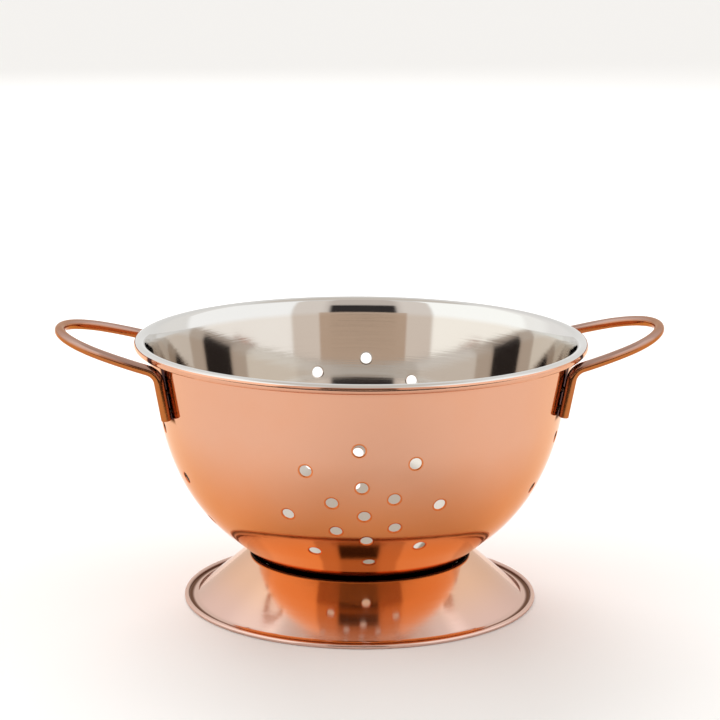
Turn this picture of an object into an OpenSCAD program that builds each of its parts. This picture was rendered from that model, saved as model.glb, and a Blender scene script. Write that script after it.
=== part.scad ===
// Footed colander: a pressed sheet bowl with a curled rim and four groups of drain holes,
// a flared foot ring welded under it, and two bent-rod handles welded under the rim.
// Millimetres. The origin is on the resting plane, at the centre of the foot. +Z is up.
// The handles lie along X. The bowl and the foot are bodies of revolution about Z.

/* [Bowl] */
// outside diameter of the curled rim
rim_d = 195; // [190:1:205]
// height from the resting plane to the rim's crown
total_h = 115.2; // [112:0.1:120]
// thickness of the bowl's sheet
bowl_t = 0.6; // [0.4:0.1:0.8]
// lean of the upper wall from vertical, in degrees
wall_lean = 10.75; // [9:0.05:12]
// length of the straight upper wall below the rim, along the wall
wall_len = 28; // [26:0.1:31]
// lean where the two curves of the wall meet, in degrees
shoulder_lean = 26.6; // [24:0.1:30]
// radius of the upper curve of the wall
shoulder_r = 99; // [90:1:110]
// lean of the lower wall from vertical, in degrees
lower_lean = 50; // [46:0.5:54]
// radius of the lower curve of the wall
belly_r = 73.5; // [68:0.5:80]
// height of the bowl's underside above the resting plane
bottom_z = 8; // [6:0.5:11]
// outside radius of the corner between the lower wall and the flat bottom
corner_r = 10; // [6:0.5:14]

/* [Rim] */
// outside radius of the curl's outer half
curl_r = 2.1; // [1.8:0.1:2.4]
// radius of the curl's upper inner shoulder
crown_r = 3; // [2.6:0.1:3.2]
// height of the curl's inner side, from the wall to the crown
curl_h = 7; // [6.6:0.1:7.4]
// width of the curl's inner side, from the wall to the crown
curl_w = 4.4; // [4.2:0.1:4.8]
// how far round the curl runs past the crown, in degrees
curl_turn = 240; // [180:5:250]

/* [Drain holes] */
// diameter of every drain hole
hole_d = 5; // [3:0.1:5.6]
// turn of each group's middle from +X, in degrees: front, right, back and left
group_turns = [-92.4, -2.4, 86.4, 178.5]; // [-100:0.1:185]
// twist of each group in the plane of the wall, in degrees
group_twist = 4.5; // [0:0.5:8]
// distance of each group's middle below the wall's top edge, along the wall, in the same order
group_downs = [53.2, 53.2, 52.2, 53.2]; // [51:0.1:55]
// number of holes in each ring of the bottom, from the centre out
bottom_rings = [1, 6, 12]; // [1:1:12]
// radial distance between the rings of holes in the bottom
bottom_pitch = 10; // [8:0.5:11]

/* [Foot] */
// outside diameter of the foot's edge bead
foot_d = 153.6; // [150:0.2:158]
// thickness of the foot's sheet
foot_t = 0.6; // [0.4:0.1:0.8]
// diameter of the foot's edge bead
bead_d = 2.1; // [1.8:0.1:2.4]
// width of the flat under the bead, which rests on the table
land_w = 0.8; // [0.4:0.1:1]
// radius where the foot's outside leaves the bowl
foot_top_r = 47.6; // [46:0.1:50]
// outside bend radius along the foot's top edge
foot_top_bend = 3; // [1:0.1:3.5]
// width of the foot's flat edge, from the outside of the bead in to the line of the cone
edge_w = 5.4; // [5:0.1:7]
// radius of the flare between the foot's cone and its flat edge
flare_r = 3; // [2:0.5:4]
// width of the inner flange that follows the bowl
flange_w = 7.5; // [7:0.5:9]

/* [Handles] */
// diameter of the handle rod
rod_d = 4.4; // [4:0.1:5]
// reach of the handle's outer end from the centre, to the rod's axis
reach = 128.8; // [124:0.2:134]
// upward tilt of the loop, in degrees
loop_tilt = 15.6; // [12:0.2:18]
// height of the rod's axis at the loop's outer end
tip_z = 119.2; // [117:0.2:122]
// radius of the loop's end, in the loop's plane
end_r = 33; // [31:0.5:35]
// half of the angle that the loop's end spans, in degrees
end_turn = 66; // [60:1:70]
// radius of the loop's sides, in the loop's plane
side_r = 70; // [60:1:90]
// angle that each of the loop's sides turns, in degrees
side_turn = 16; // [12:1:18]
// radius of the bend between the loop and each leg
bend_r = 6.5; // [5:0.5:8]
// height of the legs' cut ends above the resting plane
leg_end_z = 87; // [84:0.5:92]

/* [Welds] */
// gap between welded sheets, and between the rods and the wall
weld_gap = 0.3; // [0.2:0.05:0.4]
// diameter of a handle weld
handle_weld_d = 2.4; // [1.6:0.1:3]
// height of a leg's lower weld above the leg's cut end
weld_above = 4; // [3:0.5:6]
// distance between the two welds of a leg
weld_pitch = 8; // [6:0.5:10]
// number of welds between the foot and the bowl
foot_weld_count = 8; // [4:1:12]
// diameter of a foot weld
foot_weld_d = 3; // [2:0.1:3.5]

/* [Hidden] */
$fn = 96;
copper = [0.85, 0.56, 0.44];
steel = [0.80, 0.79, 0.77];
arc_step = 3;       // largest step along a curve of the wall's section, in degrees
curl_step = 12;     // largest step along a curve of the curl's section, in degrees
rod_sides = 24;     // facets round a handle rod
end_steps = 16;     // steps along half of a loop's end
side_steps = 6;     // steps along a loop's side
bend_steps = 8;     // steps along the bend between a loop and a leg
hit_steps = 12;     // substitutions made to find where an arm's line reaches its leg
arm_gap = 1;        // smallest distance along X between the arm's last point and the bend
drill_len = 5;      // length of a drill through the wall
skin = 0.02;        // clearance kept where two solids lie against each other

// One group of holes, each row as [distance down from the group's middle, half the pair's spacing].
// A half spacing of 0 is a single hole on the group's centre line.
group_rows = [[-31, 0], [-23, 22.4], [-14.2, 0], [-7.6, 12.7], [-1.8, 31.6],
              [0, 0], [7.6, 12], [14.4, 0], [21.3, 21.9], [31.4, 0]];

// ---- the wall's section, as the outside surface seen from the rim downwards ----
rim_r = rim_d / 2;
crown_x = rim_r - curl_r;                     // radius of the rim's crown
wall_top_x = crown_x - curl_w + bowl_t;       // outside of the wall at the bottom of the curl
wall_top_z = total_h - curl_h;
len_shoulder = shoulder_r * (shoulder_lean - wall_lean) * PI / 180;
len_belly = belly_r * (lower_lean - shoulder_lean) * PI / 180;

// a point moved down the wall by a length, at a lean from vertical
function down_line(p, lean, len) = [p[0] - len * sin(lean), p[1] - len * cos(lean)];
// a point moved down an arc of the wall, from one lean to another
function down_arc(p, r, a, b) = [p[0] - r * (cos(a) - cos(b)), p[1] + r * (sin(a) - sin(b))];

wall_0 = [wall_top_x, wall_top_z];
wall_1 = down_line(wall_0, wall_lean, wall_len);
wall_2 = down_arc(wall_1, shoulder_r, wall_lean, shoulder_lean);
wall_3 = down_arc(wall_2, belly_r, shoulder_lean, lower_lean);
// length of the straight lower wall, down to the start of the bottom corner
len_lower = (wall_3[1] - bottom_z - corner_r * (1 - sin(lower_lean))) / cos(lower_lean);
wall_4 = down_line(wall_3, lower_lean, len_lower);

// the outside of the wall at a length below its top: [radius, height, lean]
function wall_at(s) =
    s < wall_len ? concat(down_line(wall_0, wall_lean, s), wall_lean)
    : s < wall_len + len_shoulder
        ? arc_at(wall_1, shoulder_r, wall_lean, s - wall_len)
    : s < wall_len + len_shoulder + len_belly
        ? arc_at(wall_2, belly_r, shoulder_lean, s - wall_len - len_shoulder)
    : concat(down_line(wall_3, lower_lean, s - wall_len - len_shoulder - len_belly), lower_lean);
function arc_at(p, r, a, s) =
    let (b = a + s / r * 180 / PI) concat(down_arc(p, r, a, b), b);

// points on an arc about a centre, from angle a to angle b, with steps no larger than given
function arc(c, r, a, b, step) =
    let (n = max(1, ceil(abs(b - a) / step)))
    [for (i = [0:n]) let (t = a + (b - a) * i / n) [c[0] + r * cos(t), c[1] + r * sin(t)]];
function reversed(list) = [for (i = [len(list) - 1:-1:0]) list[i]];

// the centre of each curve: the outward normal at a lean points (cos lean, -sin lean)
function centre_of(p, r, lean) = [p[0] - r * cos(lean), p[1] + r * sin(lean)];
shoulder_c = centre_of(wall_1, shoulder_r, wall_lean);
belly_c = centre_of(wall_2, belly_r, shoulder_lean);
corner_c = centre_of(wall_4, corner_r, lower_lean);

// the upper wall's direction from its outside to its inside
inwards = [-cos(wall_lean), sin(wall_lean)];

// the wall's surface at a depth under its outside, from the top down to the axis
function wall_points(depth) = concat(
    [wall_0 + depth * inwards],
    arc(shoulder_c, shoulder_r - depth, -wall_lean, -shoulder_lean, arc_step),
    arc(belly_c, belly_r - depth, -shoulder_lean, -lower_lean, arc_step),
    arc(corner_c, corner_r - depth, -lower_lean, -90, 2 * arc_step),
    [[0, bottom_z + depth]]);

// the curl: inner side, shoulder and outer half, at a depth under its visible surface
crown_c = [crown_x, total_h - crown_r];
// radius of the curl's inner side, so that it meets both the wall and the shoulder smoothly
inner_0 = wall_0 + bowl_t * inwards;
inner_gap = inner_0 - crown_c;
inner_r = (inner_gap * inner_gap - pow(crown_r, 2)) / (2 * (inner_gap * inwards - crown_r));
inner_c = inner_0 - inner_r * inwards;
meet_a = atan2(crown_c[1] - inner_c[1], crown_c[0] - inner_c[0]);
curl_c = [crown_x, total_h - curl_r];
function curl_points(depth) = concat(
    arc(inner_c, inner_r - depth, 180 - wall_lean, meet_a, curl_step / 4),
    arc(crown_c, crown_r - depth, meet_a, 90, curl_step),
    arc(curl_c, curl_r - depth, 90, 90 - curl_turn, curl_step));

module bowl_section() polygon(concat(
    reversed(wall_points(0)),
    curl_points(bowl_t),
    reversed(curl_points(0)),
    wall_points(bowl_t)));

// a drill square to the wall, at a length below its top
module wall_drill(s) {
    at = wall_at(s);
    translate([at[0], 0, at[1]]) rotate([0, 90 + at[2], 0])
        cylinder(d = hole_d, h = drill_len, center = true);
}

// one group of holes about the +X side of the wall, with its middle a length below the wall's top
module hole_group(down) {
    for (row = group_rows, side = row[1] == 0 ? [0] : [-1, 1]) {
        across = side * row[1];
        s = down + row[0] * cos(group_twist) - across * sin(group_twist);
        u = across * cos(group_twist) + row[0] * sin(group_twist);
        rotate([0, 0, u / wall_at(s)[0] * 180 / PI]) wall_drill(s);
    }
}

module bottom_drills() {
    for (ring = [0:len(bottom_rings) - 1], i = [0:bottom_rings[ring] - 1])
        rotate([0, 0, 360 * i / bottom_rings[ring]])
            translate([ring * bottom_pitch, 0, bottom_z - bowl_t])
                cylinder(d = hole_d, h = 3 * bowl_t);
}

// Pressed sheet bowl with its curled rim and all its drain holes.
module bowl() {
    color(copper) difference() {
        rotate_extrude() bowl_section();
        for (k = [0:len(group_turns) - 1])
            rotate([0, 0, group_turns[k]]) hole_group(group_downs[k]);
        bottom_drills();
    }
}

// ---- the foot's section ----
bead_r = bead_d / 2;
bead_c = [foot_d / 2 - bead_r, bead_r];
land_a = asin(land_w / 2 / bead_r);           // half of the angle cut off by the flat land
land_drop = bead_r * (1 - cos(land_a));       // how much the bead loses under the land
// the flange's upper face lies a weld gap below the bowl's lower wall
under_c = [wall_3[0] + weld_gap * cos(lower_lean), wall_3[1] - weld_gap * sin(lower_lean)];
function under_z(x) = under_c[1] - (under_c[0] - x) / tan(lower_lean);
// the foot's cone, from its top edge to the start of the flare
cone_top = [foot_top_r, under_z(foot_top_r)];
edge_z = bead_c[1] - land_drop;               // height of the flat edge's upper face
cone_foot = [foot_d / 2 - edge_w, edge_z];
// slope of the cone from horizontal, in degrees
cone_fall = atan2(cone_top[1] - edge_z, cone_foot[0] - foot_top_r);
flare_c = [cone_foot[0] + flare_r * tan(cone_fall / 2), edge_z + flare_r];
top_fall = 90 - lower_lean;                   // slope of the flange from horizontal, in degrees

// centre of the bend along the top edge, tangent inside to the flange and to the cone
top_half = (180 - top_fall - cone_fall) / 2;  // half of the angle between flange and cone
top_reach = foot_top_bend / sin(top_half);
top_dir = -90 + (cone_fall - top_fall) / 2;
top_c = [cone_top[0] + top_reach * cos(top_dir), cone_top[1] + top_reach * sin(top_dir)];

// the foot's upper face at a depth under it, from the flange's inner edge out to the bead
function foot_points(depth) = concat(
    [[foot_top_r - flange_w * cos(top_fall) + depth * sin(top_fall),
      under_z(foot_top_r - flange_w * cos(top_fall)) - depth * cos(top_fall)]],
    arc(top_c, foot_top_bend - depth, 90 + top_fall, 90 - cone_fall, curl_step),
    arc(flare_c, flare_r + depth, 270 - cone_fall, 270, curl_step),
    [[bead_c[0] - (depth == 0 ? bead_r - skin : bead_r / 2), edge_z - depth]]);

module foot_section() polygon(concat(
    foot_points(0),
    [for (p = arc(bead_c, bead_r, 180 - curl_step, -90 + land_a, curl_step)) [p[0], p[1] - land_drop]],
    [[bead_c[0] - land_w / 2, 0]],
    [for (p = arc(bead_c, bead_r, -90 - land_a - curl_step, -90 - land_a - 2 * curl_step, curl_step))
        [p[0], p[1] - land_drop]],
    reversed(foot_points(foot_t))));

// Flared sheet foot with its inner flange and its beaded edge.
module foot_ring() {
    color(copper) rotate_extrude() foot_section();
}

// ---- the handle rod's path: the half from the outer end to a leg's cut end ----
rod_r = rod_d / 2;
// in the loop's plane, with x outwards and y to the side
end_c = [-end_r, 0];
side_c = [end_c[0] + (end_r - side_r) * cos(end_turn), (end_r - side_r) * sin(end_turn)];
function flat_path(n1, n2) = concat(
    [for (i = [0:n1]) let (a = end_turn * i / n1)
        [end_c[0] + end_r * cos(a), end_c[1] + end_r * sin(a)]],
    [for (i = [1:n2]) let (a = end_turn + side_turn * i / n2)
        [side_c[0] + side_r * cos(a), side_c[1] + side_r * sin(a)]]);
// from the loop's plane to the colander's frame
function lifted(p) = [reach + p[0] * cos(loop_tilt), p[1], tip_z + p[0] * sin(loop_tilt)];

function unit(v) = v / norm(v);
loop_half = [for (p = flat_path(end_steps, side_steps)) lifted(p)];
arm_end = loop_half[len(loop_half) - 1];
arm_turn = end_turn + side_turn;
// direction of the rod at the arm's end, towards the wall
arm_dir = [-sin(arm_turn) * cos(loop_tilt), cos(arm_turn), -sin(arm_turn) * sin(loop_tilt)];
// the leg lies along the wall: its axis is this far outside the wall's surface, measured level
leg_off = (rod_r + weld_gap) / cos(wall_lean);
function leg_radius(z) = wall_top_x - (wall_top_z - z) * tan(wall_lean) + leg_off;
// where the arm's line reaches the leg's cone, by repeated substitution
function arm_hit(t, n) =
    let (p = arm_end + t * arm_dir, miss = norm([p[0], p[1]]) - leg_radius(p[2]))
    n == 0 ? p : arm_hit(t + miss, n - 1);
knee = arm_hit(0, hit_steps);
leg_a = atan2(knee[1], knee[0]);              // turn of each leg from the handle's axis
leg_dir = [-sin(wall_lean) * cos(leg_a), -sin(wall_lean) * sin(leg_a), -cos(wall_lean)];
knee_a = acos(arm_dir * leg_dir);             // angle that the bend turns
knee_len = bend_r * tan(knee_a / 2);
knee_in = knee - knee_len * arm_dir;
knee_side = unit(leg_dir - (leg_dir * arm_dir) * arm_dir);
bend_half = [for (i = [1:bend_steps]) let (a = knee_a * i / bend_steps)
    knee_in + bend_r * (sin(a) * arm_dir + (1 - cos(a)) * knee_side)];
leg_end = knee + (knee[2] - leg_end_z) / cos(wall_lean) * leg_dir;
half_path = concat([for (p = loop_half) if (p[0] > knee_in[0] + arm_gap) p],
    [knee_in], bend_half, [leg_end]);
function mirrored(p) = [p[0], -p[1], p[2]];
rod_path = concat(reversed(half_path), [for (i = [1:len(half_path) - 1]) mirrored(half_path[i])]);

// a ring of points square to the path at each point, with frames carried along without twist
function tangent(path, i) =
    i == 0 ? unit(path[1] - path[0])
    : i == len(path) - 1 ? unit(path[i] - path[i - 1])
    : unit(unit(path[i] - path[i - 1]) + unit(path[i + 1] - path[i]));
function carried(path, i, u) = let (t = tangent(path, i)) unit(u - (u * t) * t);
function frames(path, i, u) =
    i == len(path) ? [] : let (v = carried(path, i, u)) concat([v], frames(path, i + 1, v));
// the rod's points are set out so that its flats, not its corners, keep the rod's mean radius
facet_r = rod_r * 2 / (1 + cos(180 / rod_sides));
module rod(path) {
    us = frames(path, 0, cross(tangent(path, 0), [0, 0, 1]));
    points = [for (i = [0:len(path) - 1]) let (t = tangent(path, i), w = cross(t, us[i]))
        for (k = [0:rod_sides - 1]) let (a = 360 * k / rod_sides)
            path[i] + facet_r * (cos(a) * us[i] + sin(a) * w)];
    last = (len(path) - 1) * rod_sides;
    faces = concat(
        [[for (k = [0:rod_sides - 1]) k]],
        [for (i = [0:len(path) - 2], k = [0:rod_sides - 1])
            let (a = i * rod_sides + k, b = i * rod_sides + (k + 1) % rod_sides)
                [b, a, a + rod_sides, b + rod_sides]],
        [[for (k = [rod_sides - 1:-1:0]) last + k]]);
    polyhedron(points, faces);
}

// Bent-rod handle on the +X side.
module right_handle() {
    color(copper) rod(rod_path);
}

// Bent-rod handle on the -X side.
module left_handle() {
    color(copper) mirror([1, 0, 0]) rod(rod_path);
}

// ---- welds ----
// a weld's height on a leg: two for each leg, above its cut end
function weld_z(i) = leg_end_z + weld_above + i * weld_pitch;

// one weld between a leg and the wall, square to the wall, cut to both surfaces
module handle_weld(z) {
    wall_x = leg_radius(z) - leg_off;
    intersection() {
        difference() {
            translate([wall_x, 0, z]) rotate([0, 90 + wall_lean, 0])
                cylinder(d = handle_weld_d, h = 2 * rod_r, center = true);
            // the leg itself
            translate([leg_radius(z), 0, z]) rotate([0, wall_lean, 0])
                cylinder(r = rod_r + skin, h = 4 * rod_d, center = true);
        }
        // only the side between the wall and the leg
        translate([wall_x, 0, z]) rotate([0, wall_lean, 0])
            translate([skin, -rod_d / 2, -rod_d]) cube([rod_r + weld_gap, rod_d, 2 * rod_d]);
    }
}

// Weld metal between the four legs and the bowl.
module handle_welds() {
    color(steel) for (side = [0, 180], turn = [-leg_a, leg_a], i = [0, 1])
        rotate([0, 0, side + turn]) handle_weld(weld_z(i));
}

// Weld metal between the foot's flange and the bowl.
module foot_welds() {
    mid_x = foot_top_r - (foot_top_bend + flange_w) / 2 * cos(top_fall);
    color(steel) for (k = [0:foot_weld_count - 1]) rotate([0, 0, 360 * (k + 0.5) / foot_weld_count])
        translate([mid_x, 0, under_z(mid_x)]) rotate([0, -top_fall, 0])
            translate([0, 0, skin]) cylinder(d = foot_weld_d, h = weld_gap - 2 * skin);
}

bowl();
foot_ring();
left_handle();
right_handle();
handle_welds();
foot_welds();
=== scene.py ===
import math

import bpy
import numpy as np
from mathutils import Matrix, Vector
from mathutils.geometry import delaunay_2d_cdt


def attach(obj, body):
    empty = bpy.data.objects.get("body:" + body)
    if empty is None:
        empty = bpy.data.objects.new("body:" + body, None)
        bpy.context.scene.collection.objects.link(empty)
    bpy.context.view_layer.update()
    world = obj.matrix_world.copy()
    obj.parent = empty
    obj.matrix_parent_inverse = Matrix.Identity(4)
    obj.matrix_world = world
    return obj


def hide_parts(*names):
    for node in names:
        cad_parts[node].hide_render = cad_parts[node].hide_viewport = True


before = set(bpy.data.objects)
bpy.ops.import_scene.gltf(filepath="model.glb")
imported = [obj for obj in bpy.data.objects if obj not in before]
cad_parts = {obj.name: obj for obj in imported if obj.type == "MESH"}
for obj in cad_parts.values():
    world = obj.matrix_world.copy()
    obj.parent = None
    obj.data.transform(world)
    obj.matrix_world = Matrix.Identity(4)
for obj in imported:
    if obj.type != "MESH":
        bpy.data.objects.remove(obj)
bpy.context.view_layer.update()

# Footed colander: a sheet bowl with a curled rim and drain holes, a flared foot and two rod handles.
# Shapes are worked out in millimetres and become metres when a mesh is made. The bowl and the foot are
# turned about Z. A lean is measured from straight down, and a turn goes round Z.

MM = 0.001

# ------------------------------------------------------------------ sizes, in millimetres
# the whole bowl
RIM_R = 97.5
TOTAL_H = 115.2
SHEET = 0.6                       # thickness
BOTTOM_Z = 8.0                    # height of the flat bottom's underside

# the wall's outside, from the rim down: a straight, two arcs, a straight and the corner of the bottom
WALL_LEAN = math.radians(10.75)
WALL_LEN = 28.0
SHOULDER_LEAN = math.radians(26.6)
SHOULDER_R = 99.0
LOWER_LEAN = math.radians(50.0)
BELLY_R = 73.5
CORNER_R = 10.0

# the curled rim
CURL_R = 2.1
CROWN_R = 3.0                     # radius where the flange turns over into the curl
CURL_H = 7.0                      # from the rim's top down to the wall's top
CURL_W = 4.4                      # from the rim's top in to the wall's inside
CURL_TURN = math.radians(240)     # how far the curl goes round, from its top
COPPER_START = math.radians(25)   # the copper reaches this far up the outside of the curl

# the drain holes: four groups in the wall, and rings in the bottom
HOLE_R = 2.5
DIMPLE_W = 0.7                    # width of a hole's turned-in edge
GROUP_TURNS = [math.radians(a) for a in (-92.4, -2.4, 86.4, 178.5)]
GROUP_DOWNS = [53.2, 53.2, 52.2, 53.2]      # from the wall's top to the middle of each group
GROUP_TWIST = math.radians(4.5)
# each row of a group: distance down from its middle, half of the pair's spacing
GROUP_ROWS = [(-31, 0), (-23, 22.4), (-14.2, 0), (-7.6, 12.7), (-1.8, 31.6),
              (0, 0), (7.6, 12), (14.4, 0), (21.3, 21.9), (31.4, 0)]
BOTTOM_RINGS = [1, 6, 12]         # holes in each ring
BOTTOM_PITCH = 10.0               # from ring to ring

# the foot
FOOT_R = 76.8
FOOT_T = 0.6                      # thickness
FOOT_TOP_R = 47.6                 # where the foot meets the bowl
FOOT_TOP_BEND = 3.0               # radius of its top edge
FLANGE_W = 7.5                    # the hidden flange under the bowl
EDGE_W = 5.4                      # from the end of the slope to the rim of the foot
FLARE_R = 3.0                     # radius between the slope and the level edge
BEAD_R = 1.05
LAND_W = 0.8                      # the flat that the bead stands on
BEAD_BACK = 0.42                  # how far the bead turns up behind its flat, in radians
WELD_GAP = 0.3                    # between welded pieces

# the handles
ROD_R = 2.2
ROD_CHAMFER = 0.3                 # at the cut ends
REACH = 128.8                     # from the axis to the middle of the rod at the loop's tip
LOOP_TILT = math.radians(15.6)
TIP_Z = 119.2                     # height of the rod's middle there
END_R = 33.0                      # the loop's round end, and how far it turns
END_TURN = math.radians(66)
SIDE_R = 70.0                     # the loop's flatter side, and how far it turns
SIDE_TURN = math.radians(16)
BEND_R = 6.5                      # where the loop turns down into a leg
LEG_END_Z = 87.0

# fineness of the meshes
AROUND = 288                      # steps round the bowl and the foot
HOLE_STEPS = 36                   # steps round a drain hole
HOLE_RINGS = [0.0, 0.14, 0.38, DIMPLE_W, 1.0]    # rings of points round a hole, from its edge outwards
HOLE_MARGIN = 0.2                 # room left outside the last ring
ROW_STEP = 2.2                    # largest distance between rows of the wall
CONE_ROWS = 24                    # rows down the foot's slope
ROD_SIDES = 40

COPPER, STEEL, HOLE_EDGE = 0, 1, 2    # material indices on the bowl; the other pieces have only the first


# ------------------------------------------------------------------ mesh building
class Shell:
    """Collects vertices, faces, a normal for each face corner and a material for each face."""

    def __init__(self):
        self.points = []
        self.faces = []
        self.normals = []
        self.materials = []
        self.rings = {}

    def vertex(self, p):
        self.points.append(p)
        return len(self.points) - 1

    def ring(self, x, z):
        """The vertices of a circle about Z, made once for each radius and height."""
        key = (round(x, 4), round(z, 4))
        if key not in self.rings:
            self.rings[key] = [self.vertex((x * math.cos(t), x * math.sin(t), z)) for t in TURNS]
        return self.rings[key]

    def face(self, corners, normals, material):
        """Adds a face, turned so that it looks the way its corners' normals do."""
        a, b, c, d = (Vector(self.points[corners[i]]) for i in (0, 1, 2, -1))
        across = (c - a).cross(d - b) if len(corners) > 3 else (b - a).cross(c - a)
        if across.dot(sum((Vector(n) for n in normals), Vector())) < 0:
            corners, normals = corners[::-1], normals[::-1]
        self.faces.append(corners)
        self.normals.extend(normals)
        self.materials.append(material)

    def strip(self, run, material, skip=()):
        """A smooth band round Z through a run of (radius, height, normal's radius, normal's height).
        skip holds (row, column) cells to leave out."""
        for i in range(len(run) - 1):
            (xa, za, na, ma), (xb, zb, nb, mb) = run[i], run[i + 1]
            a, b = self.ring(xa, za), self.ring(xb, zb)
            for j in range(AROUND):
                if (i, j) in skip:
                    continue
                k = (j + 1) % AROUND
                cj, sj, ck, sk = COS[j], SIN[j], COS[k], SIN[k]
                self.face((a[j], b[j], b[k], a[k]),
                          ((na * cj, na * sj, ma), (nb * cj, nb * sj, mb),
                           (nb * ck, nb * sk, mb), (na * ck, na * sk, ma)), material)

    def make(self, name, materials):
        """The object, in metres."""
        mesh = bpy.data.meshes.new(name)
        mesh.from_pydata([tuple(MM * c for c in p) for p in self.points], [], self.faces)
        for m in materials:
            mesh.materials.append(m)
        mesh.polygons.foreach_set("material_index", self.materials)
        mesh.polygons.foreach_set("use_smooth", [True] * len(self.faces))
        mesh.normals_split_custom_set(self.normals)
        mesh.update()
        obj = bpy.data.objects.new(name, mesh)
        bpy.context.scene.collection.objects.link(obj)
        return obj


TURNS = [2 * math.pi * j / AROUND for j in range(AROUND)]
COS = [math.cos(t) for t in TURNS]
SIN = [math.sin(t) for t in TURNS]


def arc(cx, cz, r, a, b, step, side=1):
    """Points (x, z, normal x, normal z) on an arc; side -1 makes the normals look at the centre."""
    n = max(1, math.ceil(abs(b - a) / step - 1e-9))
    directions = [(math.cos(t), math.sin(t)) for t in (a + (b - a) * i / n for i in range(n + 1))]
    return [(cx + r * c, cz + r * d, side * c, side * d) for c, d in directions]


def unit(v):
    """A vector of the same direction and length 1."""
    return v / np.linalg.norm(v)


# ------------------------------------------------------------------ the bowl's wall
CROWN_X = RIM_R - CURL_R
WALL_TOP = (CROWN_X - CURL_W + SHEET, TOTAL_H - CURL_H)


def down_line(p, lean, length):
    """The point a length down a straight from p."""
    return p[0] - length * math.sin(lean), p[1] - length * math.cos(lean)


def down_arc(p, r, a, b):
    """The point where an arc that starts at p with lean a has lean b."""
    return p[0] - r * (math.cos(a) - math.cos(b)), p[1] + r * (math.sin(a) - math.sin(b))


def wall_pieces():
    """The wall's outside from the rim down, as (start point, kind, radius, lean at start, length),
    and the point where its lower straight starts."""
    pieces = [(WALL_TOP, "line", 0, WALL_LEAN, WALL_LEN)]
    p = down_line(WALL_TOP, WALL_LEAN, WALL_LEN)
    for r, a, b in ((SHOULDER_R, WALL_LEAN, SHOULDER_LEAN), (BELLY_R, SHOULDER_LEAN, LOWER_LEAN)):
        pieces.append((p, "arc", r, a, r * (b - a)))
        p = down_arc(p, r, a, b)
    lower = (p[1] - BOTTOM_Z - CORNER_R * (1 - math.sin(LOWER_LEAN))) / math.cos(LOWER_LEAN)
    pieces.append((p, "line", 0, LOWER_LEAN, lower))
    corner = down_line(p, LOWER_LEAN, lower)
    pieces.append((corner, "arc", CORNER_R, LOWER_LEAN, CORNER_R * (math.pi / 2 - LOWER_LEAN)))
    return pieces, p


WALL, UNDER_TOP = wall_pieces()


def wall_at(s):
    """Radius, height and lean of the wall's outside at a length below its top."""
    for start, kind, r, lean, length in WALL:
        if s <= length or start is WALL[-1][0]:
            if kind == "line":
                return (*down_line(start, lean, s), lean)
            return (*down_arc(start, r, lean, lean + s / r), lean + s / r)
        s -= length


def wall_rows():
    """Lengths down the wall at which its mesh has rows."""
    rows, at = [0.0], 0.0
    for piece in WALL:
        step = ROW_STEP if piece is not WALL[-1] else ROW_STEP / 2
        n = max(1, math.ceil(piece[4] / step))
        rows += [at + piece[4] * (i + 1) / n for i in range(n)]
        at += piece[4]
    return [rows[0], 0.3] + rows[1:]      # a narrow first row, where the flange's curve starts


def drain_holes():
    """Every hole of the wall as (length down, turn about Z)."""
    holes = []
    for turn, down in zip(GROUP_TURNS, GROUP_DOWNS):
        for row, half in GROUP_ROWS:
            for across in ((-half, half) if half else (0,)):
                s = down + row * math.cos(GROUP_TWIST) - across * math.sin(GROUP_TWIST)
                u = across * math.cos(GROUP_TWIST) + row * math.sin(GROUP_TWIST)
                holes.append((s, turn + u / wall_at(s)[0]))
    return holes


def roll_at(gap):
    """How far a surface rolls in, and its slope, at a distance from a hole's edge."""
    x = max(0.0, 1 - gap / DIMPLE_W)
    return DIMPLE_W * (0.1 * x ** 2 + 0.1 * x ** 5), 0.2 * x + 0.5 * x ** 4


def edge_material(gap, material):
    """The material at a distance from a hole's edge."""
    return HOLE_EDGE if material == COPPER and gap < DIMPLE_W else material


def triangulate(border, circles):
    """Triangles of a flat outline with round holes in it. circles has a function for each hole that gives
    the points of its circle at a distance from its edge.
    Returns the 2D points and the triangles as lists of point numbers. The first points are the border,
    then for each hole HOLE_STEPS points for each of its rings, from its edge outwards."""
    def edge_of(v):
        """The hole whose edge a point lies on, or -1."""
        hole, rest = divmod(v - len(border), HOLE_STEPS * len(HOLE_RINGS))
        return hole if hole >= 0 and rest < HOLE_STEPS else -1

    points = list(border)
    edges = [(i, (i + 1) % len(border)) for i in range(len(border))]
    for circle in circles:
        for gap in HOLE_RINGS:
            first = len(points)
            points += circle(gap)
            edges += [(first + i, first + (i + 1) % HOLE_STEPS) for i in range(HOLE_STEPS)]
    _, _, faces, origin, _, _ = delaunay_2d_cdt([Vector(p) for p in points], edges, [], 1, 1e-7)
    triangles = [[origin[v][0] for v in f] for f in faces]
    # A triangle with all its corners on one hole's edge lies in the opening.
    return points, [t for t in triangles if edge_of(t[0]) < 0 or len({edge_of(v) for v in t}) > 1]


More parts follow.
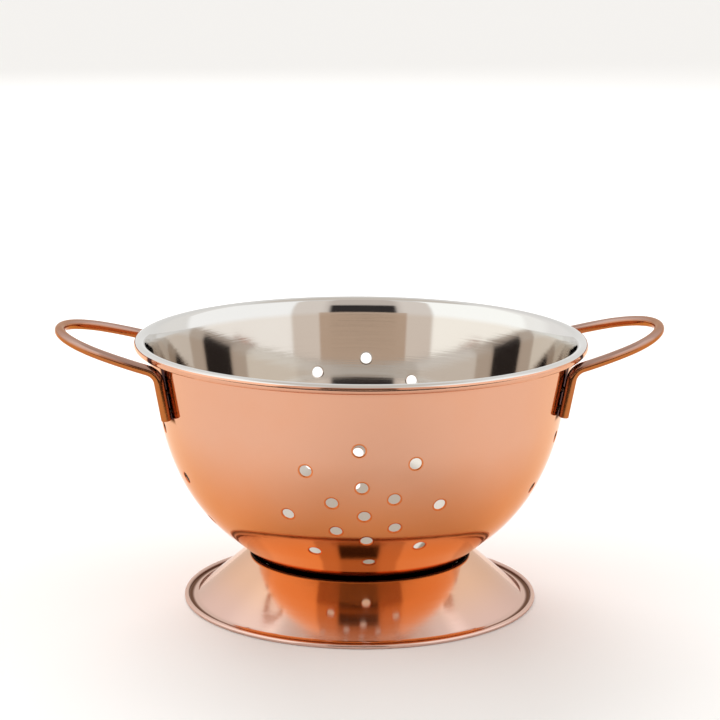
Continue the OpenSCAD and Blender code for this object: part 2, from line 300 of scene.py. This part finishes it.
def wall_surface(shell, rows, depth, side, material, holes):
    """One face of the wall, outside (side 1) or inside (side -1), with its holes.
    Returns the vertices round the edge of each hole."""
    def place(s, turn, sink=0.0):
        """The point at a length down the wall; sink moves it into the sheet."""
        x, z, lean = wall_at(s)
        d = depth + side * sink
        return ((x - d * math.cos(lean)) * math.cos(turn), (x - d * math.cos(lean)) * math.sin(turn),
                z + d * math.sin(lean))

    def normal(s, turn):
        """The direction that the surface faces."""
        lean = wall_at(s)[2]
        return np.array((math.cos(lean) * math.cos(turn), math.cos(lean) * math.sin(turn),
                         -math.sin(lean))) * side

    run = []
    for s in rows:
        x, z, lean = wall_at(s)
        run.append((x - depth * math.cos(lean), z + depth * math.sin(lean),
                    side * math.cos(lean), -side * math.sin(lean)))
    grid = [shell.ring(x, z) for x, z, _, _ in run]
    # each hole lies in a block of the wall's cells, which is left out and filled with triangles
    skip, blocks = set(), []
    step = 2 * math.pi / AROUND
    reach = HOLE_R + HOLE_RINGS[-1] + HOLE_MARGIN
    for s0, turn in holes:
        top = max(i for i, s in enumerate(rows) if s < s0 - reach)
        low = min(i for i, s in enumerate(rows) if s > s0 + reach)
        spread = reach / min(wall_at(rows[top])[0], wall_at(rows[low])[0])
        first = math.floor((turn - spread) / step)
        last = math.ceil((turn + spread) / step)
        cells = {(i, j % AROUND) for i in range(top, low) for j in range(first, last)}
        assert not cells & skip, "two holes share a cell of the wall"
        skip |= cells
        blocks.append((s0, turn, top, low, first, last))
    shell.strip(run, material, skip)

    edges = []
    for s0, turn, top, low, first, last in blocks:
        scale = wall_at(s0)[0]
        walk = ([(top, j) for j in range(first, last)] + [(i, last) for i in range(top, low)]
                + [(low, j) for j in range(last, first, -1)] + [(i, first) for i in range(low, top, -1)])
        border = [((j * step - turn) * scale, rows[i]) for i, j in walk]

        def circle(gap):
            """The points round this hole at a distance from its edge, laid flat."""
            out = []
            for k in range(HOLE_STEPS):
                a = 2 * math.pi * k / HOLE_STEPS
                s = s0 + (HOLE_R + gap) * math.cos(a)
                out.append(((HOLE_R + gap) * math.sin(a) / wall_at(s)[0] * scale, s))
            return out

        points, triangles = triangulate(border, [circle])
        numbers = [grid[i][j % AROUND] for i, j in walk]
        normals = [normal(rows[i], j * step) for i, j in walk]
        for k, (u, s) in enumerate(points[len(walk):]):
            t = turn + u / scale
            sink, slope = roll_at(HOLE_RINGS[k // HOLE_STEPS])
            numbers.append(shell.vertex(place(s, t, sink)))
            n = normal(s, t)
            if slope:
                away = np.array(place(s0, turn)) - np.array(place(s, t))
                away = unit(away - away.dot(n) * n)
                n = n * math.sqrt(1 - slope * slope) + away * slope
            normals.append(n)
        for tri in triangles:
            u = sum(points[v][0] for v in tri) / 3
            s = sum(points[v][1] for v in tri) / 3
            gap = math.hypot(u, s - s0) - HOLE_R
            shell.face([numbers[v] for v in tri], [tuple(normals[v]) for v in tri],
                       edge_material(gap, material))
        edges.append(numbers[len(walk):len(walk) + HOLE_STEPS])
    return edges


def hole_wall(shell, outer, inner, material):
    """The cut face of one hole, between its two edges."""
    points = [np.array(shell.points[v]) for v in outer]
    centre = sum(points) / len(points)
    for k in range(HOLE_STEPS):
        m = (k + 1) % HOLE_STEPS
        na, nb = unit(centre - points[k]), unit(centre - points[m])
        shell.face((outer[k], outer[m], inner[m], inner[k]), [tuple(n) for n in (na, nb, nb, na)], material)


def ring_point(centre, r, i, n):
    """Point number i of n points round a centre."""
    return centre[0] + r * math.cos(2 * math.pi * i / n), centre[1] + r * math.sin(2 * math.pi * i / n)


def bottom_disc(shell, edge_x, z, side, material):
    """One face of the flat bottom with its rings of holes.
    Returns the vertices round the edge of each hole."""
    border = [(edge_x * COS[j], edge_x * SIN[j]) for j in range(AROUND)]
    centres = [ring_point((0, 0), ring * BOTTOM_PITCH, i, n)
               for ring, n in enumerate(BOTTOM_RINGS) for i in range(n)]

    def circle_at(c):
        return lambda gap: [ring_point(c, HOLE_R + gap, k, HOLE_STEPS) for k in range(HOLE_STEPS)]

    points, triangles = triangulate(border, [circle_at(c) for c in centres])
    each = HOLE_STEPS * len(HOLE_RINGS)
    numbers, normals = list(shell.ring(edge_x, z)), [(0, 0, -side)] * AROUND
    for k, (x, y) in enumerate(points[AROUND:]):
        hole, rest = divmod(k, each)
        sink, slope = roll_at(HOLE_RINGS[rest // HOLE_STEPS])
        numbers.append(shell.vertex((x, y, z + side * sink)))
        away = unit(np.array((centres[hole][0] - x, centres[hole][1] - y, 0.0)))
        normals.append(tuple(np.array((0, 0, -side)) * math.sqrt(1 - slope * slope) + away * slope))
    for tri in triangles:
        x = sum(points[v][0] for v in tri) / 3
        y = sum(points[v][1] for v in tri) / 3
        gap = min(math.hypot(x - c[0], y - c[1]) for c in centres) - HOLE_R
        shell.face([numbers[v] for v in tri], [normals[v] for v in tri], edge_material(gap, material))
    return [numbers[AROUND + h * each:AROUND + h * each + HOLE_STEPS] for h in range(len(centres))]


def curl_run(depth, side, step):
    """The curl's face at a depth under its visible surface, from the wall over the crown to its end.
    A concave arc, touching both, joins the wall to the crown."""
    inwards = np.array((-math.cos(WALL_LEAN), math.sin(WALL_LEAN)))
    start = np.array(WALL_TOP) + SHEET * inwards
    crown = np.array((CROWN_X, TOTAL_H - CROWN_R))
    gap = start - crown
    inner_r = (gap.dot(gap) - CROWN_R ** 2) / (2 * (gap.dot(inwards) - CROWN_R))
    inner = start - inner_r * inwards
    meet = math.atan2(crown[1] - inner[1], crown[0] - inner[0])
    run = arc(inner[0], inner[1], inner_r - depth, math.pi - WALL_LEAN, meet, step / 3.5, side)
    run += arc(crown[0], crown[1], CROWN_R - depth, meet, math.pi / 2, step, side)[1:]
    run += arc(CROWN_X, TOTAL_H - CURL_R, CURL_R - depth,
               math.pi / 2, math.pi / 2 - CURL_TURN, step, side)[1:]
    return run


def build_bowl(copper, steel, hole_edge):
    """The bowl: both faces of its wall and bottom with the holes between them, and the curled rim."""
    shell = Shell()
    rows, holes = wall_rows(), drain_holes()
    outer = wall_surface(shell, rows, 0.0, 1, COPPER, holes)
    inner = wall_surface(shell, rows, SHEET, -1, STEEL, holes)
    for a, b in zip(outer, inner):
        hole_wall(shell, a, b, HOLE_EDGE)
    x, z, _ = wall_at(rows[-1])
    for a, b in zip(bottom_disc(shell, x, z, 1, COPPER), bottom_disc(shell, x, z + SHEET, -1, STEEL)):
        hole_wall(shell, a, b, HOLE_EDGE)

    # the curl: its hidden side is copper, its visible side is steel until the copper starts
    hidden, shown = curl_run(SHEET, -1, math.radians(12)), curl_run(0.0, 1, math.radians(7))
    shell.strip(hidden, COPPER)
    copper_z = TOTAL_H - CURL_R + CURL_R * math.sin(COPPER_START)
    last_steel = max(i for i, p in enumerate(shown) if p[1] >= copper_z)
    shell.strip(shown[:last_steel + 1], STEEL)
    shell.strip(shown[last_steel:], COPPER)
    (xa, za, _, _), (xb, zb, _, _) = shown[-1], hidden[-1]
    end = CURL_TURN - math.pi / 2
    cut = (-math.sin(end), -math.cos(end))
    shell.strip([(xa, za, *cut), (xb, zb, *cut)], COPPER)
    return shell.make("bowl_shell", [copper, steel, hole_edge])


# ------------------------------------------------------------------ the foot
def build_foot(copper):
    """The foot: a flange that lies under the bowl, a bend, a straight slope, a flare and a solid bead."""
    bead_x = FOOT_R - BEAD_R
    land_turn = math.asin(LAND_W / 2 / BEAD_R)
    bead_z = BEAD_R * math.cos(land_turn)
    under = (UNDER_TOP[0] + WELD_GAP * math.cos(LOWER_LEAN), UNDER_TOP[1] - WELD_GAP * math.sin(LOWER_LEAN))

    def under_z(x):
        """Height of the flange's upper face, which lies along the bowl."""
        return under[1] - (under[0] - x) / math.tan(LOWER_LEAN)

    top = (FOOT_TOP_R, under_z(FOOT_TOP_R))
    rise = math.pi / 2 - LOWER_LEAN
    fall = math.atan2(top[1] - bead_z, FOOT_R - EDGE_W - FOOT_TOP_R)
    flare = (FOOT_R - EDGE_W + FLARE_R * math.tan(fall / 2), bead_z + FLARE_R)
    reach = FOOT_TOP_BEND / math.sin((math.pi - rise - fall) / 2)
    way = -math.pi / 2 + (fall - rise) / 2
    bend = (top[0] + reach * math.cos(way), top[1] + reach * math.sin(way))
    step = math.radians(6)

    def sheet_run(depth, side):
        """The face of the sheet at a depth, from the flange's inner edge to the end of the flare."""
        start_x = FOOT_TOP_R - FLANGE_W * math.cos(rise)
        run = [(start_x + depth * math.sin(rise), under_z(start_x) - depth * math.cos(rise),
                -math.sin(rise) * side, math.cos(rise) * side)]
        run += arc(bend[0], bend[1], FOOT_TOP_BEND - depth,
                   math.pi / 2 + rise, math.pi / 2 - fall, step, side)
        low = arc(flare[0], flare[1], FLARE_R + depth, 1.5 * math.pi - fall, 1.5 * math.pi, step, -side)
        (xa, za, nx, nz), (xb, zb, _, _) = run[-1], low[0]
        run += [(xa + (xb - xa) * i / CONE_ROWS, za + (zb - za) * i / CONE_ROWS, nx, nz)
                for i in range(1, CONE_ROWS)]
        return run + low

    upper, lower = sheet_run(0.0, 1), sheet_run(FOOT_T, -1)
    bead = arc(bead_x, bead_z, BEAD_R, math.pi, -math.pi / 2 + land_turn, step)
    land = [(bead_x + LAND_W / 2, 0.0, 0.0, -1.0), (bead_x - LAND_W / 2, 0.0, 0.0, -1.0)]
    back = arc(bead_x, bead_z, BEAD_R, -math.pi / 2 - land_turn, -math.pi / 2 - land_turn - BEAD_BACK, step)
    upper.append((bead[0][0], bead[0][1], 0.0, 1.0))
    lower.append((back[-1][0], lower[-1][1], 0.0, -1.0))
    step_up = [(*end[-1][:2], -1.0, 0.0) for end in (back, lower)]
    inner_edge = [(*end[0][:2], -math.cos(rise), -math.sin(rise)) for end in (upper, lower)]
    shell = Shell()
    for run in (upper, bead, land, back, step_up, lower, inner_edge):
        shell.strip(run, COPPER)
    return shell.make("foot_shell", [copper])


# ------------------------------------------------------------------ the handles
def rod_path():
    """Centre line of the handle on the +X side, from one cut end to the other."""
    # half of the loop, flat in its own plane: the round end and then the flatter side
    side = (-END_R + (END_R - SIDE_R) * math.cos(END_TURN), (END_R - SIDE_R) * math.sin(END_TURN))
    flat = [(-END_R + END_R * math.cos(END_TURN * i / 40), END_R * math.sin(END_TURN * i / 40))
            for i in range(41)]
    flat += [(side[0] + SIDE_R * math.cos(END_TURN + SIDE_TURN * i / 16),
              side[1] + SIDE_R * math.sin(END_TURN + SIDE_TURN * i / 16)) for i in range(1, 17)]
    loop = [np.array((REACH + x * math.cos(LOOP_TILT), y, TIP_Z + x * math.sin(LOOP_TILT))) for x, y in flat]
    turn = END_TURN + SIDE_TURN
    arm = np.array((-math.sin(turn) * math.cos(LOOP_TILT), math.cos(turn),
                    -math.sin(turn) * math.sin(LOOP_TILT)))
    off = (ROD_R + WELD_GAP) / math.cos(WALL_LEAN)

    def leg_radius(z):
        """How far from the axis a leg's centre line runs at a height."""
        return WALL_TOP[0] - (WALL_TOP[1] - z) * math.tan(WALL_LEAN) + off

    # the loop goes on straight until it meets the leg's line, at the knee
    t = 0.0
    for _ in range(12):
        p = loop[-1] + t * arm
        t += math.hypot(p[0], p[1]) - leg_radius(p[2])
    knee = loop[-1] + t * arm
    a = math.atan2(knee[1], knee[0])
    leg = np.array((-math.sin(WALL_LEAN) * math.cos(a), -math.sin(WALL_LEAN) * math.sin(a),
                    -math.cos(WALL_LEAN)))
    knee_turn = math.acos(arm.dot(leg))
    start = knee - BEND_R * math.tan(knee_turn / 2) * arm
    side_dir = unit(leg - leg.dot(arm) * arm)
    half = [p for p in loop if p[0] > start[0] + 1] + [start]    # no point within 1 mm of the bend
    for i in range(1, 15):
        t = knee_turn * i / 14
        half.append(start + BEND_R * (math.sin(t) * arm + (1 - math.cos(t)) * side_dir))
    bent = half[-1]
    end = knee + (knee[2] - LEG_END_Z) / math.cos(WALL_LEAN) * leg
    half += [bent + (end - bent) * i / 6 for i in range(1, 7)]
    mirror = np.array((1, -1, 1))
    return half[:0:-1] + [p * mirror for p in half]


LEG_TURN = abs(math.atan2(rod_path()[-1][1], rod_path()[-1][0]))    # from the handle's side to a leg


def rod_ring(shell, centre, directions, radius, lean_to):
    """The vertices and normals of one ring of a rod; lean_to tilts the normals towards a cut end."""
    vertices = [shell.vertex(tuple(centre + radius * d)) for d in directions]
    normals = [tuple(unit(d + lean_to)) if lean_to is not None else tuple(d) for d in directions]
    return vertices, normals


def build_handle(name, way, copper):
    """One bent rod; way is 1 for the +X side and -1 for the -X side."""
    path = [p * np.array((way, 1, 1)) for p in rod_path()]
    tangents = []
    for i in range(len(path)):
        a = unit(path[i] - path[i - 1]) if i else unit(path[1] - path[0])
        b = unit(path[i + 1] - path[i]) if i < len(path) - 1 else a
        tangents.append(unit(a + b))
    side_turns = [2 * math.pi * k / ROD_SIDES for k in range(ROD_SIDES)]
    across = unit(np.cross(tangents[0], (0, 0, 1)))
    shell, rings = Shell(), []
    for i, (p, t) in enumerate(zip(path, tangents)):
        across = unit(across - across.dot(t) * t)
        up = np.cross(t, across)
        directions = [math.cos(a) * across + math.sin(a) * up for a in side_turns]
        if i == 0:
            rings.append(rod_ring(shell, p, directions, ROD_R - ROD_CHAMFER, -t))
            rings.append(rod_ring(shell, p + ROD_CHAMFER * t, directions, ROD_R, None))
        elif i == len(path) - 1:
            rings.append(rod_ring(shell, p - ROD_CHAMFER * t, directions, ROD_R, None))
            rings.append(rod_ring(shell, p, directions, ROD_R - ROD_CHAMFER, t))
        else:
            rings.append(rod_ring(shell, p, directions, ROD_R, None))
    for (va, na), (vb, nb) in zip(rings[:-1], rings[1:]):
        for k in range(ROD_SIDES):
            m = (k + 1) % ROD_SIDES
            shell.face((va[k], va[m], vb[m], vb[k]), (na[k], na[m], nb[m], nb[k]), COPPER)
    for (v, _), t in ((rings[0], -tangents[0]), (rings[-1], tangents[-1])):
        shell.face(v, [tuple(t)] * ROD_SIDES, COPPER)
    return shell.make(name, [copper])


# ------------------------------------------------------------------ materials
LINES_PER_METRE = 900.0
LINE_BREAKS = 1.6             # how often a turning line changes on its way round
# this sets the lower end of the painted shade beside the handles' legs
LEG_SHADE_RISE = 2             # where "from leg" starts to grow, in millimetres above the leg's end


def node(tree, kind, **inputs):
    """A node with values on its inputs; an underscore stands for a space in an input's name."""
    n = tree.nodes.new(kind)
    for name, value in inputs.items():
        n.inputs[name.replace("_", " ")].default_value = value
    return n


def math_node(tree, operation, a, b=None):
    """A sum on one or two values, each of which is a number or another node's output."""
    n = tree.nodes.new("ShaderNodeMath")
    n.operation = operation
    for i, v in enumerate((a, b)):
        if isinstance(v, (int, float)):
            n.inputs[i].default_value = v
        elif v is not None:
            tree.links.new(v, n.inputs[i])
    return n.outputs[0]


def soft_step(tree, value, at, soft, rises):
    """A smooth step from 0 to 1, or from 1 to 0, as a value passes a place."""
    n = node(tree, "ShaderNodeMapRange", From_Min=at - soft, From_Max=at + soft,
             To_Min=0.0 if rises else 1.0, To_Max=1.0 if rises else 0.0)
    n.interpolation_type = "SMOOTHSTEP"
    tree.links.new(value, n.inputs["Value"])
    return n.outputs["Result"]


def mix_colour(tree, factor, first, second):
    """A colour between two, each of which is a colour or another node's output."""
    n = tree.nodes.new("ShaderNodeMix")
    n.data_type = "RGBA"
    tree.links.new(factor, n.inputs["Factor"])
    for socket, colour in ((n.inputs["A"], first), (n.inputs["B"], second)):
        if isinstance(colour, tuple):
            socket.default_value = (*colour, 1)
        else:
            tree.links.new(colour, socket)
    return n.outputs["Result"]


def measures_of(tree, position):
    """What a tint or a painted shade can follow, as node outputs by name. Lengths are in metres, and
    "upwards" is how far the surface itself faces up, from -1 to 1. "from leg" is the distance to either side
    of the nearest handle's leg, or below a point just above its end, whichever is more."""
    split = tree.nodes.new("ShaderNodeSeparateXYZ")
    tree.links.new(position, split.inputs[0])
    x, y, z = split.outputs
    radius = math_node(tree, "SQRT", math_node(tree, "ADD", math_node(tree, "MULTIPLY", x, x),
                                               math_node(tree, "MULTIPLY", y, y)))
    facing = tree.nodes.new("ShaderNodeSeparateXYZ")
    tree.links.new(tree.nodes.new("ShaderNodeNewGeometry").outputs["Normal"], facing.inputs[0])
    turn = math_node(tree, "ARCTAN2", math_node(tree, "ABSOLUTE", y), math_node(tree, "ABSOLUTE", x))
    beside = math_node(tree, "ABSOLUTE", math_node(tree, "SUBTRACT", turn, LEG_TURN))
    below = math_node(tree, "SUBTRACT", MM * (LEG_END_Z + LEG_SHADE_RISE), z)
    return {"x": x, "y": y, "height": z, "radius": radius, "upwards": facing.outputs[2],
            "from leg": math_node(tree, "MAXIMUM", math_node(tree, "MULTIPLY", radius, beside), below)}


def turned_coordinates(tree, at, along):
    """Coordinates for marks that run round Z: fast along the section and slow round the axis."""
    radius = math_node(tree, "MAXIMUM", at["radius"], 0.001)
    section = math_node(tree, "ADD", math_node(tree, "MULTIPLY", at["height"], along[0] * LINES_PER_METRE),
                        math_node(tree, "MULTIPLY", at["radius"], along[1] * LINES_PER_METRE))
    join = tree.nodes.new("ShaderNodeCombineXYZ")
    for i, way in enumerate((at["x"], at["y"])):
        way = math_node(tree, "MULTIPLY", math_node(tree, "DIVIDE", way, radius), LINE_BREAKS)
        tree.links.new(way, join.inputs[i])
    tree.links.new(section, join.inputs[2])
    return join.outputs[0]


def metal(name, colours, by, rough, along, stretch=0.5, line_depth=0.4, coat=0.0, edge=(1, 1, 1),
          painted_shade=()):
    """Brushed and polished metal. The tint goes from the first of two colours to the second, by (measure,
    from, to), in metres where it is a length. rough is the range of roughness. along says how far the
    turning lines follow height and radius, stretch is how drawn out the gloss is, and line_depth is how
    strong the lines are. coat is the weight of a clear gloss on top, and edge is the colour at a glance.
    The last argument is a list of dark places painted in as shade, each (measure, from, to, softness,
    strength), its lengths in millimetres."""
    mat = bpy.data.materials.new(name)
    mat.use_nodes = True
    tree = mat.node_tree
    shader = tree.nodes["Principled BSDF"]
    shader.inputs["Metallic"].default_value = 1.0
    shader.inputs["Coat Weight"].default_value = coat
    shader.inputs["Coat Roughness"].default_value = 0.08
    position = tree.nodes.new("ShaderNodeTexCoord").outputs["Object"]
    measures = measures_of(tree, position)

    # fine turning lines, and soft clouds that vary the tint and the gloss
    lines = node(tree, "ShaderNodeTexNoise", Scale=1.0, Detail=5.0, Roughness=0.62)
    tree.links.new(turned_coordinates(tree, measures, along), lines.inputs["Vector"])
    cloud = node(tree, "ShaderNodeTexNoise", Scale=38.0, Detail=4.0, Roughness=0.55)
    tree.links.new(position, cloud.inputs["Vector"])

    reach = node(tree, "ShaderNodeMapRange", From_Min=by[1], From_Max=by[2])
    reach.interpolation_type = "SMOOTHSTEP"
    tree.links.new(measures[by[0]], reach.inputs["Value"])
    drift = node(tree, "ShaderNodeMapRange", From_Min=0.3, From_Max=0.7, To_Min=-0.06, To_Max=0.06)
    tree.links.new(cloud.outputs["Fac"], drift.inputs["Value"])
    place = math_node(tree, "ADD", reach.outputs["Result"], drift.outputs["Result"])
    tint, glance = mix_colour(tree, place, *colours), None
    # painted shade: each place darkens the base colour and the colour at a glance towards near black
    for axis, start, end, soft, depth in painted_shade:
        mask = math_node(tree, "MULTIPLY", soft_step(tree, measures[axis], MM * start, MM * soft, True),
                         soft_step(tree, measures[axis], MM * end, MM * soft, False))
        mask = math_node(tree, "MULTIPLY", mask, depth)
        tint = mix_colour(tree, mask, tint, PAINTED_SHADE)
        glance = mix_colour(tree, mask, glance or edge, PAINTED_SHADE_EDGE)
    tree.links.new(tint, shader.inputs["Base Color"])
    if glance:
        tree.links.new(glance, shader.inputs["Specular Tint"])
    else:
        shader.inputs["Specular Tint"].default_value = (*edge, 1)

    blend = math_node(tree, "ADD", math_node(tree, "MULTIPLY", lines.outputs["Fac"], 0.6),
                      math_node(tree, "MULTIPLY", cloud.outputs["Fac"], 0.4))
    spread = node(tree, "ShaderNodeMapRange", From_Min=0.3, From_Max=0.7, To_Min=rough[0], To_Max=rough[1])
    tree.links.new(blend, spread.inputs["Value"])
    tree.links.new(spread.outputs["Result"], shader.inputs["Roughness"])

    # the gloss is drawn out in one direction, as on turned metal
    shader.inputs["Anisotropic"].default_value = stretch
    shader.inputs["Anisotropic Rotation"].default_value = 0.25
    tangent = tree.nodes.new("ShaderNodeTangent")
    tangent.direction_type = "RADIAL"
    tangent.axis = "Z"
    tree.links.new(tangent.outputs[0], shader.inputs["Tangent"])

    bump = node(tree, "ShaderNodeBump", Strength=line_depth, Distance=0.00002)
    tree.links.new(lines.outputs["Fac"], bump.inputs["Height"])
    tree.links.new(bump.outputs["Normal"], shader.inputs["Normal"])
    return mat


# the ends of the bowl's painted reflection, deep orange low down and pale higher up
PALE_COPPER, DEEP_COPPER = (0.73, 0.38, 0.25), (0.74, 0.245, 0.06)
COPPER_EDGE = (1.0, 0.80, 0.62)
# near-black colours of the painted shade, for the base and at a glance
PAINTED_SHADE, PAINTED_SHADE_EDGE = (0.06, 0.022, 0.012), (0.14, 0.08, 0.05)
# the heights over which the bowl's painted reflection goes from deep orange to pale
BOWL_PAINTED_REFLECTION = ("height", 0.034, 0.092)
SEAM_Z = UNDER_TOP[1] - (UNDER_TOP[0] - FOOT_TOP_R) / math.tan(LOWER_LEAN)    # where foot and bowl meet

# painted reflection, deep orange low on the bowl and paler above; painted shade, dark at the foot's seam and
# beside the handles' legs
copper_bowl = metal("copper_bowl", (DEEP_COPPER, PALE_COPPER), BOWL_PAINTED_REFLECTION, (0.06, 0.11), (1.0, 0.6),
                    coat=0.12, edge=COPPER_EDGE,
                    painted_shade=[("height", SEAM_Z - 2.5, SEAM_Z + 1.2, 0.8, 1.0),
                             ("from leg", -99, 2.6, 1.3, 0.9)])
# the holes' turned-in edges: a deeper orange, with the same painted reflection up the bowl
copper_hole_edge = metal("copper_hole_edge", ((0.72, 0.15, 0.03), (0.72, 0.23, 0.08)), BOWL_PAINTED_REFLECTION,
                         (0.10, 0.16), (1.0, 0.6), coat=0.1, edge=COPPER_EDGE)
# painted reflection, pinker on the foot and more orange towards its top; painted shade, dark at its top edge
# and in the groove beside the bead
copper_foot = metal("copper_foot", ((0.76, 0.47, 0.32), (0.71, 0.485, 0.415)), ("radius", 0.054, 0.071),
                    (0.08, 0.14), (1.0, -0.6), coat=0.12, edge=(0.87, 0.76, 0.69),
                    painted_shade=[("radius", 42.0, FOOT_TOP_R - 0.2, 0.5, 1.0),
                             ("radius", 72.9, 74.9, 0.7, 0.7)])
# painted light, orange under the rods and pinker on top, by how far the surface faces up
copper_rod = metal("copper_rod", ((0.46, 0.145, 0.037), (0.45, 0.295, 0.25)), ("upwards", -0.05, 0.6),
                   (0.10, 0.18), (1.0, 0.3), 0.0, coat=0.06, edge=(0.8, 0.56, 0.42))
# brighter on the flange than on the wall
steel_inside = metal("steel_inside", ((0.64, 0.585, 0.53), (0.69, 0.675, 0.655)),
                     ("height", 0.1065, 0.1095), (0.04, 0.08), (1.0, 0.6), 0.4)
# painted shade: the welds are near black, so that those seen in the gap at the foot's seam stay dark
steel_weld_painted_dark = metal("steel_weld_painted_dark", ((0.09, 0.07, 0.06), (0.14, 0.11, 0.095)), ("height", 0.0, 0.1),
                   (0.25, 0.45), (1.0, 0.3), 0.0)


bowl = build_bowl(copper_bowl, steel_inside, copper_hole_edge)
foot = build_foot(copper_foot)
right = build_handle("right_handle_rod", 1, copper_rod)
left = build_handle("left_handle_rod", -1, copper_rod)
for piece, cad_node in ((bowl, "bowl"), (foot, "foot_ring"),
                        (right, "right_handle"), (left, "left_handle")):
    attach(piece, "root")
    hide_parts(cad_node)
for cad_node in ("handle_welds", "foot_welds"):
    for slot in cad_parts[cad_node].material_slots:
        slot.material = steel_weld_painted_dark


# ------------------------------------------------------------------ studio
def plain(name, grey):
    """A matt grey for the stage."""
    mat = bpy.data.materials.new(name)
    mat.use_nodes = True
    shader = mat.node_tree.nodes["Principled BSDF"]
    shader.inputs["Base Color"].default_value = (grey, grey, grey, 1)
    shader.inputs["Roughness"].default_value = 0.9
    return mat


def panel(name, centre, look_at, width, height, material):
    """A flat stage panel that faces a point."""
    mesh = bpy.data.meshes.new(name)
    w, h = width / 2, height / 2
    mesh.from_pydata([(-w, -h, 0), (w, -h, 0), (w, h, 0), (-w, h, 0)], [], [(0, 1, 2, 3)])
    mesh.materials.append(material)
    obj = bpy.data.objects.new(name, mesh)
    bpy.context.scene.collection.objects.link(obj)
    obj.location = centre
    obj.rotation_euler = (Vector(look_at) - Vector(centre)).to_track_quat("Z", "Y").to_euler()
    return obj


panel("floor", (0, 0, 0), (0, 0, 1), 12, 12, plain("floor_white", 0.93))
# A black card on the floor in front, outside the picture. It only shows in the metal that faces it.
card = panel("black_card", (0, -0.79, 0.002), (0, -0.79, 1), 3, 1, plain("card_black", 0.03))
card.visible_camera = card.visible_diffuse = card.visible_shadow = False

# The studio round the object, as seen from it. Each panel: turn from and to, measured from the front
# towards +X, height from and to, and softness of its edges, all in degrees, and its light. A panel that
# starts at LOWEST goes down past the horizon, and one that starts at -180 goes all the way round.
FRONT_TURN = 3.65             # the front, where the camera stands, is this far round from -Y, towards -X
LOWEST = -8
PANELS = [
    ("behind", -180, 180, LOWEST, 62, 6, (0.76, 0.76, 0.75)),
    ("back left", -150, -112, LOWEST, 58, 14, (0.86, 0.85, 0.84)),
    ("back right", 104, 140, LOWEST, 56, 14, (0.83, 0.82, 0.80)),
    ("left box edge", -124, -96, LOWEST, 58, 7, (0.98, 0.98, 0.96)),
    ("left box", -104, -40, LOWEST, 57, 3, (1.12, 1.14, 1.12)),
    ("right box", 39, 112, LOWEST, 54, 3, (1.03, 1.04, 1.04)),
    ("flanks", -41, 40, LOWEST, 52, 1.5, (0.75, 0.69, 0.64)),
    ("over the camera", -22, 20, 10, 62, 4, (0.56, 0.50, 0.46)),
    ("low flanks", -42, 42, LOWEST, 7, 2, (0.46, 0.34, 0.29)),
    ("camera side", -20, 18, LOWEST, 29, 1.5, (0.035, 0.03, 0.03)),
    ("warm strip", -26, 24, 7.8, 11.6, 0.6, (0.54, 0.42, 0.33)),
]
CEILING = (0.64, 0.59, 0.54)
LIGHT = 1.22                  # brightness of the whole studio


def bright(colour):
    """A studio colour at the studio's brightness."""
    return tuple(LIGHT * c for c in colour)


def build_world():
    """The panels, laid over each other in order. The camera itself sees plain white behind the object."""
    world = bpy.data.worlds.new("studio")
    bpy.context.scene.world = world
    world.use_nodes = True
    tree = world.node_tree
    coord = tree.nodes.new("ShaderNodeTexCoord")
    split = tree.nodes.new("ShaderNodeSeparateXYZ")
    tree.links.new(coord.outputs["Generated"], split.inputs[0])
    x, y, z = split.outputs
    back = math_node(tree, "MULTIPLY", y, -1)
    turn = math_node(tree, "MULTIPLY", math_node(tree, "ARCTAN2", x, back), 180 / math.pi)
    turn = math_node(tree, "ADD", turn, FRONT_TURN)
    turn = math_node(tree, "WRAP", turn, 180)
    turn.node.inputs[2].default_value = -180
    height = math_node(tree, "MULTIPLY", math_node(tree, "ARCSINE", z), 180 / math.pi)

    colour = bright(CEILING)
    for _, t0, t1, h0, h1, soft, light in PANELS:
        level = min(soft, 4)      # softness of the upper and lower edges
        masks = [soft_step(tree, height, h1, level, False)]
        if h0 > LOWEST:
            masks.append(soft_step(tree, height, h0, level, True))
        if t0 > -180:
            masks += [soft_step(tree, turn, t0, soft, True), soft_step(tree, turn, t1, soft, False)]
        mask = masks[0]
        for m in masks[1:]:
            mask = math_node(tree, "MULTIPLY", mask, m)
        colour = mix_colour(tree, mask, colour, bright(light))
    seen = tree.nodes.new("ShaderNodeLightPath").outputs["Is Camera Ray"]
    colour = mix_colour(tree, seen, colour, (1.0, 1.0, 1.0))
    tree.links.new(colour, tree.nodes["Background"].inputs["Color"])


def lamp(name, centre, look_at, size, power):
    """A large soft lamp that lights the floor and doesn't show in the metal."""
    data = bpy.data.lights.new(name, "AREA")
    data.shape = "DISK"
    data.size = size
    data.energy = power
    obj = bpy.data.objects.new(name, data)
    bpy.context.scene.collection.objects.link(obj)
    obj.location = centre
    obj.rotation_euler = (Vector(centre) - Vector(look_at)).to_track_quat("Z", "Y").to_euler()
    obj.visible_glossy = False
    return obj


build_world()
lamp("back lamp", (-0.2, 1.6, 1.3), (0, 0, 0), 1.5, 22.0)


# ------------------------------------------------------------------ camera
AIM_DOWN = 0.2085             # how far the camera looks down, and its small roll, in radians
ROLL = 0.0061
DISTANCE, HEIGHT = 1.000545, 0.316489
camera_data = bpy.data.cameras.new("camera")
camera_data.lens = 118.6
camera_data.sensor_width = 36.0
camera_data.shift_x = -0.001472
camera_data.clip_start = 0.01
camera = bpy.data.objects.new("camera", camera_data)
bpy.context.scene.collection.objects.link(camera)
camera.matrix_world = (Matrix.Rotation(-math.radians(FRONT_TURN), 4, "Z")
                       @ Matrix.Translation((0, -DISTANCE, HEIGHT))
                       @ Matrix.Rotation(math.pi / 2 - AIM_DOWN, 4, "X") @ Matrix.Rotation(ROLL, 4, "Z"))
bpy.context.scene.camera = camera
bpy.context.scene.view_settings.view_transform = "Standard"
